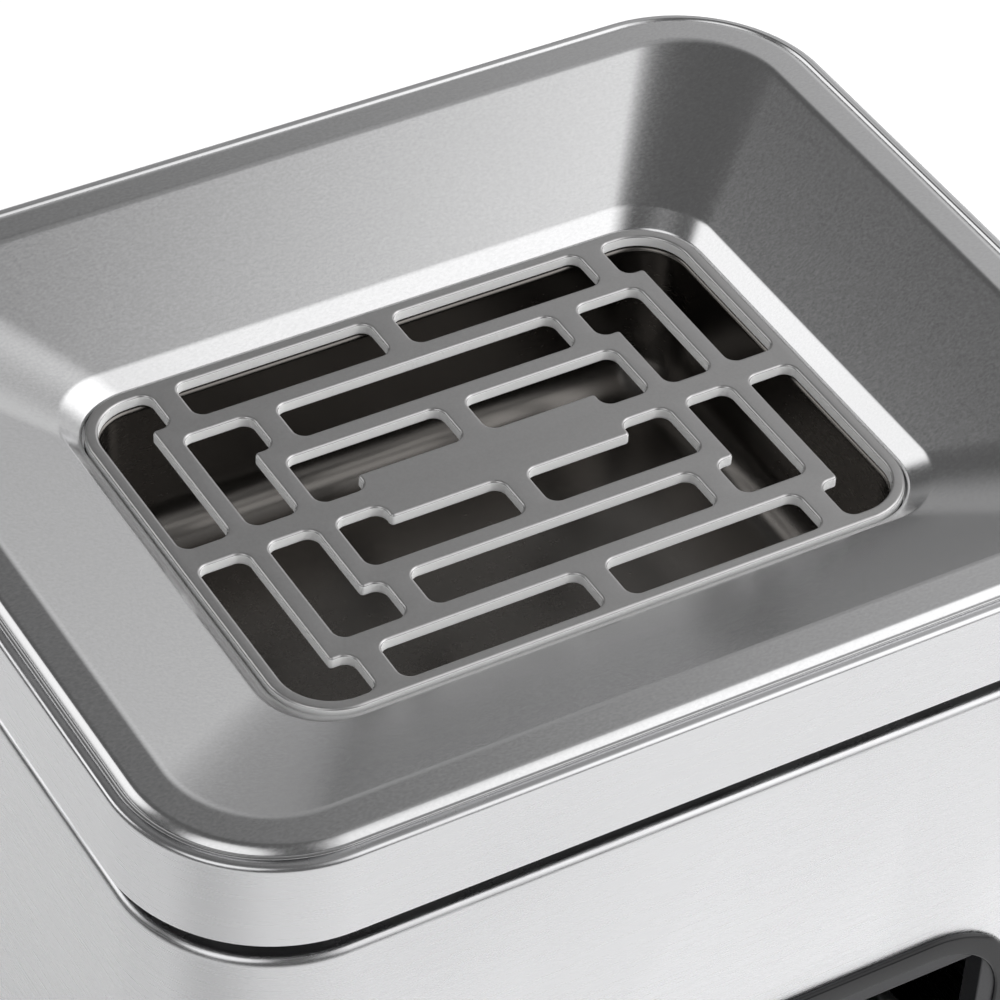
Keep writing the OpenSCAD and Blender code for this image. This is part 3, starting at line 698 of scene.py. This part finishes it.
# The pan takes the steel with the painted shade.
finish_piece(capped_rings("ash_catcher_pan", around(pan_section, PAN_HL, PAN_HW, PAN_R)),
             "pan", "pan_steel", "ash_pan")


# ---- body sleeve ---------------------------------------------------------

SHELL_T = 1.2 * MM
SHELL_EDGE_R = 2.5 * MM
HEM_IN = 4.5 * MM
FACE_LIP = 5.1 * MM
trim_lo, trim_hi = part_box("bezel_trim")
TRIM_HL = (trim_hi.x - trim_lo.x) / 2
TRIM_HH = (trim_hi.z - trim_lo.z) / 2
TRIM_R = 30 * MM
TRIM_W = 6.6 * MM
FACE_W = 5.4 * MM
TRIM_PROUD = FACE_Y - trim_lo.y
WINDOW_Z = (trim_hi.z + trim_lo.z) / 2
WINDOW_HL = TRIM_HL - TRIM_W - FACE_W
WINDOW_HH = TRIM_HH - TRIM_W - FACE_W
WINDOW_R = 4 * MM

sleeve_section = (
    [(-SHELL_T, SHELL_Z0 + 0.3 * MM), (-SHELL_T + 0.3 * MM, SHELL_Z0), (-0.3 * MM, SHELL_Z0),
     (0, SHELL_Z0 + 0.3 * MM), (0, SHELL_Z0 + 1.5 * MM), (0, SHELL_Z1 - SHELL_EDGE_R - 1 * MM)]
    + arc(-SHELL_EDGE_R, SHELL_Z1 - SHELL_EDGE_R, SHELL_EDGE_R, 0, 90, 12)
    + [(-HEM_IN, SHELL_Z1), (-HEM_IN, SHELL_Z1 - SHELL_T)]
    + arc(-SHELL_EDGE_R, SHELL_Z1 - SHELL_EDGE_R, SHELL_EDGE_R - SHELL_T, 90, 0, 6)
)
HOLE_OUT = 2.8 * MM          # the sleeve's hole, out from the clear opening
SEAM_HALF = 0.2 * MM
CUT_DEPTH = 5 * MM           # reach of the cutters on each side of a face
hole = on_front([corner_ring(WINDOW_HL + HOLE_OUT, WINDOW_HH + HOLE_OUT, WINDOW_R + HOLE_OUT, z)
                 for z in (-CUT_DEPTH, CUT_DEPTH)], WINDOW_Z)
sleeve = closed_rings("brushed_body_sleeve", around(sleeve_section, BODY_HL, BODY_HW, BODY_R))
cut(sleeve, [
    capped_rings("hole_cutter", hole),
    box_mesh("seam_cutter", (-SEAM_HALF, BODY_HW - CUT_DEPTH, SHELL_Z0 - 1 * MM),
             (SEAM_HALF, BODY_HW + CUT_DEPTH, SHELL_Z1 - 6 * MM)),
])
shade(sleeve)
finish_piece(sleeve, "housing", "brushed_sleeve", "body_shell")


# ---- window trim and face ------------------------------------------------

REBATE = 1.6 * MM
FLANGE_T = 0.8 * MM
TRIM_EDGE_R = 1.1 * MM
trim_section = (
    [(-TRIM_W + REBATE, 0), (-0.2 * MM, 0), (0, 0.2 * MM)]
    + arc(-TRIM_EDGE_R, TRIM_PROUD - TRIM_EDGE_R - 0.06 * MM, TRIM_EDGE_R, 0, 80, 7)
    + [(-TRIM_W / 2, TRIM_PROUD)]
    + arc(-TRIM_W + 0.8 * MM, TRIM_PROUD - 0.86 * MM, 0.8 * MM, 100, 180, 6)
    + [(-TRIM_W, FLANGE_T), (-TRIM_W + REBATE, FLANGE_T)]
)
trim_rings = around(trim_section, TRIM_HL, TRIM_HH, TRIM_R)
finish_piece(closed_rings("gloss_window_trim", on_front(trim_rings, WINDOW_Z), 40),
             "housing", "gloss_black", "bezel_trim")

THROAT_D = 6 * MM
FACE_T = 0.74 * MM
THROAT_T = 1.8 * MM
LIP_R = 0.5 * MM
LIP_EASE = 0.3 * MM
throat_section = (
    [(-d, z) for d, z in arc(-LIP_R, FACE_T - LIP_R, LIP_R, 90, 0, 5)]
    + [(0, -THROAT_D + LIP_EASE), (LIP_EASE, -THROAT_D), (THROAT_T, -THROAT_D), (THROAT_T, 0)]
)
face_section = [(-FACE_LIP, 0), (-FACE_LIP, FACE_T)]
face_rings = around(face_section, TRIM_HL, TRIM_HH, TRIM_R)
face_rings += around(throat_section, WINDOW_HL, WINDOW_HH, WINDOW_R)
finish_piece(closed_rings("satin_window_face", on_front(face_rings, WINDOW_Z), 40),
             "housing", "satin_black", "opening_frame")


# ---- liner pail and bail -------------------------------------------------

PAIL_R = 28 * MM
PAIL_T = 1 * MM
ROLL_R = 2.6 * MM
PAIL_BEND = 4 * MM
ROLL_OUT = 2 * ROLL_R - PAIL_T
PAIL_HL, PAIL_HW = (size - ROLL_OUT for size in half("liner_pail"))
roll_c = ROLL_R - PAIL_T
roll_z = PAIL_RIM_Z - ROLL_R
pail_section = (
    arc(-PAIL_BEND, PAIL_Z0 + PAIL_BEND, PAIL_BEND, 270, 360, 6)
    + [(0, PAIL_Z0 + PAIL_BEND + 2 * MM), (0, roll_z - ROLL_R - 3 * MM), (0, roll_z - 2.06 * MM)]
    + arc(roll_c, roll_z, ROLL_R, 232, 540, 22)
    + [(-PAIL_T, roll_z - 3 * MM), (-PAIL_T, PAIL_Z0 + PAIL_BEND + 2 * MM)]
    + arc(-PAIL_BEND, PAIL_Z0 + PAIL_BEND, PAIL_BEND - PAIL_T, 360, 270, 6)
)
finish_piece(capped_rings("galvanised_liner_pail", around(pail_section, PAIL_HL, PAIL_HW, PAIL_R)),
             "liner", "pail_zinc", "liner_pail")

wire_lo, wire_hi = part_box("bail_wire")
BAIL_R = 2.5 * MM
BAIL_Z = (wire_lo.z + wire_hi.z) / 2
BAIL_X = wire_hi.x - BAIL_R
BAIL_Y = wire_hi.y - BAIL_R
BAIL_BEND = 22 * MM
EYE_BEND = 6 * MM
WIRE_END = PAIL_HL + 0.3 * MM


def bail_path():
    """Centreline of the bail, from one eye round to the other."""
    side = (
        [(WIRE_END, 0)]
        + arc(BAIL_X - EYE_BEND, EYE_BEND, EYE_BEND, -90, 0, 10)
        + arc(BAIL_X - BAIL_BEND, BAIL_Y - BAIL_BEND, BAIL_BEND, 0, 90, 15)
    )
    path = side + [(-x, y) for x, y in reversed(side)]
    return [Vector((x, y, BAIL_Z)) for x, y in path]


def wire(name, path, radius, steps=20):
    """A round wire along a level path, closed at both ends."""
    up = Vector((0, 0, 1))
    rings = []
    for i, p in enumerate(path):
        before, after = path[max(i - 1, 0)], path[min(i + 1, len(path) - 1)]
        side = (after - before).normalized().cross(up).normalized()
        angles = (2 * math.pi * j / steps for j in range(steps))
        rings.append([p + side * (radius * math.cos(a)) + up * (radius * math.sin(a)) for a in angles])
    return capped_rings(name, rings)


finish_piece(wire("bail_loop", bail_path(), BAIL_R), "bail", "bail_steel", "bail_wire")

grip_lo, grip_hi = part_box("bail_grip")
GRIP_R = (grip_hi.z - grip_lo.z) / 2
GRIP_HALF = grip_hi.x
RIBS = 22
RIB_STEPS = 8
RIB_H = 0.35 * MM            # half the depth of a groove between two ribs
RIBS_HALF = GRIP_HALF - 8 * MM
grip_end = [(-GRIP_HALF, BAIL_R + 0.2 * MM), (-GRIP_HALF, GRIP_R - 1.2 * MM),
            (-GRIP_HALF + 0.4 * MM, GRIP_R - 0.4 * MM), (-GRIP_HALF + 1.4 * MM, GRIP_R)]
ribs = [
    (RIBS_HALF * (2 * k / (RIBS * RIB_STEPS) - 1),
     GRIP_R - RIB_H * (1 - math.cos(2 * math.pi * k / RIB_STEPS)))
    for k in range(RIBS * RIB_STEPS + 1)
]
grip_profile = (
    grip_end
    + [(-RIBS_HALF - 2 * MM, GRIP_R)]
    + ribs
    + [(RIBS_HALF + 2 * MM, GRIP_R)]
    + [(-x, r) for x, r in reversed(grip_end)]
)
grip = lathe_x("ribbed_bail_grip", grip_profile, ((grip_lo.y + grip_hi.y) / 2, BAIL_Z))
finish_piece(grip, "bail", "black_plastic", "bail_grip")


# ---- CAD nodes that stay -------------------------------------------------

KEPT = {
    "rubber_feet": "foot_rubber", "foot_screws": "zinc_fixings", "base_plinth": "black_plastic",
    "foot_plates": "black_plastic",
    "base_floor": "inner_steel", "floor_screws": "zinc_fixings", "seam_strip": "inner_steel",
    "seam_rivets": "zinc_fixings", "top_collar": "black_collar", "collar_studs": "zinc_fixings",
    "collar_nuts": "zinc_fixings", "frame_retainer": "inner_steel", "retainer_screws": "zinc_fixings",
    "tray_clips": "inner_steel", "clip_screws": "zinc_fixings", "rest_pads": "foot_rubber",
    "locating_blocks": "black_plastic", "rim_wire": "bail_steel", "pail_ears": "zinc_fixings",
    "ear_rivets": "zinc_fixings",
}
for node, slot in KEPT.items():
    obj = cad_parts[node]
    paint(obj, slot)
    weighted = obj.modifiers.new("weighted", "WEIGHTED_NORMAL")
    weighted.keep_sharp = True


# ---- stage: floor, light and camera --------------------------------------


FLOOR_HALF = 6.0


def stage_floor():
    """A plain pale floor, level with the feet."""
    corners = [(sx * FLOOR_HALF, sy * FLOOR_HALF, 0) for sx, sy in ((-1, -1), (1, -1), (1, 1), (-1, 1))]
    mesh = bpy.data.meshes.new("floor")
    mesh.from_pydata(corners, [], [(0, 1, 2, 3)])
    floor = bpy.data.objects.new("floor", mesh)
    bpy.context.scene.collection.objects.link(floor)
    n = Nodes("pale_floor")
    n.shader.inputs["Base Color"].default_value = (0.88, 0.88, 0.88, 1)
    n.shader.inputs["Roughness"].default_value = 0.9
    floor.data.materials.append(n.material)


def lobe(tree, direction, inner, outer, value):
    """A soft patch of light in one direction: full inside inner degrees, none past outer."""
    coords = tree.nodes.new("ShaderNodeTexCoord")
    dot = tree.nodes.new("ShaderNodeVectorMath")
    dot.operation = "DOT_PRODUCT"
    dot.inputs[1].default_value = Vector(direction).normalized()
    tree.links.new(coords.outputs["Generated"], dot.inputs[0])
    mapped = tree.nodes.new("ShaderNodeMapRange")
    mapped.interpolation_type = "SMOOTHSTEP"
    mapped.inputs["From Min"].default_value = math.cos(math.radians(outer))
    mapped.inputs["From Max"].default_value = math.cos(math.radians(inner))
    mapped.inputs["To Min"].default_value = 0.0
    mapped.inputs["To Max"].default_value = value
    tree.links.new(dot.outputs["Value"], mapped.inputs["Value"])
    return mapped.outputs["Result"]


# Direction, inner and outer angle in degrees, and the strength added
LOBES = [
    ((0.85, 0.16, 0.51), 25, 46, 0.48),
    ((0.57, 0.82, 0.09), 20, 42, 0.27),
    ((0.74, -0.43, 0.52), 15, 46, 1.62),
    ((-0.50, 0.61, 0.61), 9, 18, 1.45),
    ((-0.56, -0.32, 0.76), 13, 26, 1.25),
]
BASE = 0.135                 # strength of the surround between the patches


def stage_world():
    """An even surround with the soft patches added to it."""
    world = bpy.data.worlds.new("studio")
    bpy.context.scene.world = world
    world.use_nodes = True
    tree = world.node_tree
    background = tree.nodes["Background"]
    base = tree.nodes.new("ShaderNodeValue")
    total = base.outputs["Value"]
    total.default_value = BASE
    for direction, inner, outer, value in LOBES:
        add = tree.nodes.new("ShaderNodeMath")
        add.operation = "ADD"
        tree.links.new(lobe(tree, direction, inner, outer, value), add.inputs[0])
        tree.links.new(total, add.inputs[1])
        total = add.outputs["Value"]
    tree.links.new(total, background.inputs["Strength"])
    background.inputs["Color"].default_value = (1, 1, 1, 1)


def area_light(name, place, target, size, power):
    """A soft light that brightens matt surfaces and isn't itself reflected."""
    data = bpy.data.lights.new(name, "AREA")
    data.shape = "RECTANGLE"
    data.size, data.size_y = size
    data.energy = power
    light = bpy.data.objects.new(name, data)
    light.location = place
    light.rotation_mode = "QUATERNION"
    light.rotation_quaternion = (Vector(target) - Vector(place)).to_track_quat("-Z", "Y")
    light.visible_camera = False
    light.visible_glossy = False
    bpy.context.scene.collection.objects.link(light)


CAMERA_PLACE = (-0.4565, -0.7198, 1.3272)
CAMERA_HEADING = 57.480       # degrees from +X towards +Y
CAMERA_DOWN = 41.522          # degrees below level
CAMERA_ROLL = 3.611           # degrees, right side up
CAMERA_LENS = 160.07


def stage_camera():
    """A long lens above the front left corner, looking down on the tray."""
    heading, down, roll = (math.radians(a) for a in (CAMERA_HEADING, CAMERA_DOWN, CAMERA_ROLL))
    ahead = Vector((
        math.cos(down) * math.cos(heading), math.cos(down) * math.sin(heading), -math.sin(down)))
    level = Vector((math.sin(heading), -math.cos(heading), 0))
    right = level * math.cos(roll) + level.cross(ahead) * math.sin(roll)
    data = bpy.data.cameras.new("camera")
    data.sensor_width = 36
    data.lens = CAMERA_LENS
    data.clip_start, data.clip_end = 0.05, 50
    camera = bpy.data.objects.new("camera", data)
    turn = Matrix((right, right.cross(ahead), -ahead)).transposed()
    camera.matrix_world = Matrix.Translation(CAMERA_PLACE) @ turn.to_4x4()
    bpy.context.scene.collection.objects.link(camera)
    bpy.context.scene.camera = camera


stage_floor()
stage_world()
area_light("front_fill", (1.3, -2.8, 2.7), (0.2, 0.0, 0.3), (1.6, 1.6), 22)
area_light("back_right_key", (2.7, 1.45, 2.4), (0.0, 0.0, 0.2), (1.2, 1.2), 85)
area_light("front_right_pool", (1.15, -1.0, 1.3), (1.0, -0.85, 0.0), (0.5, 0.5), 6)
stage_camera()
bpy.context.scene.view_settings.view_transform = "Standard"
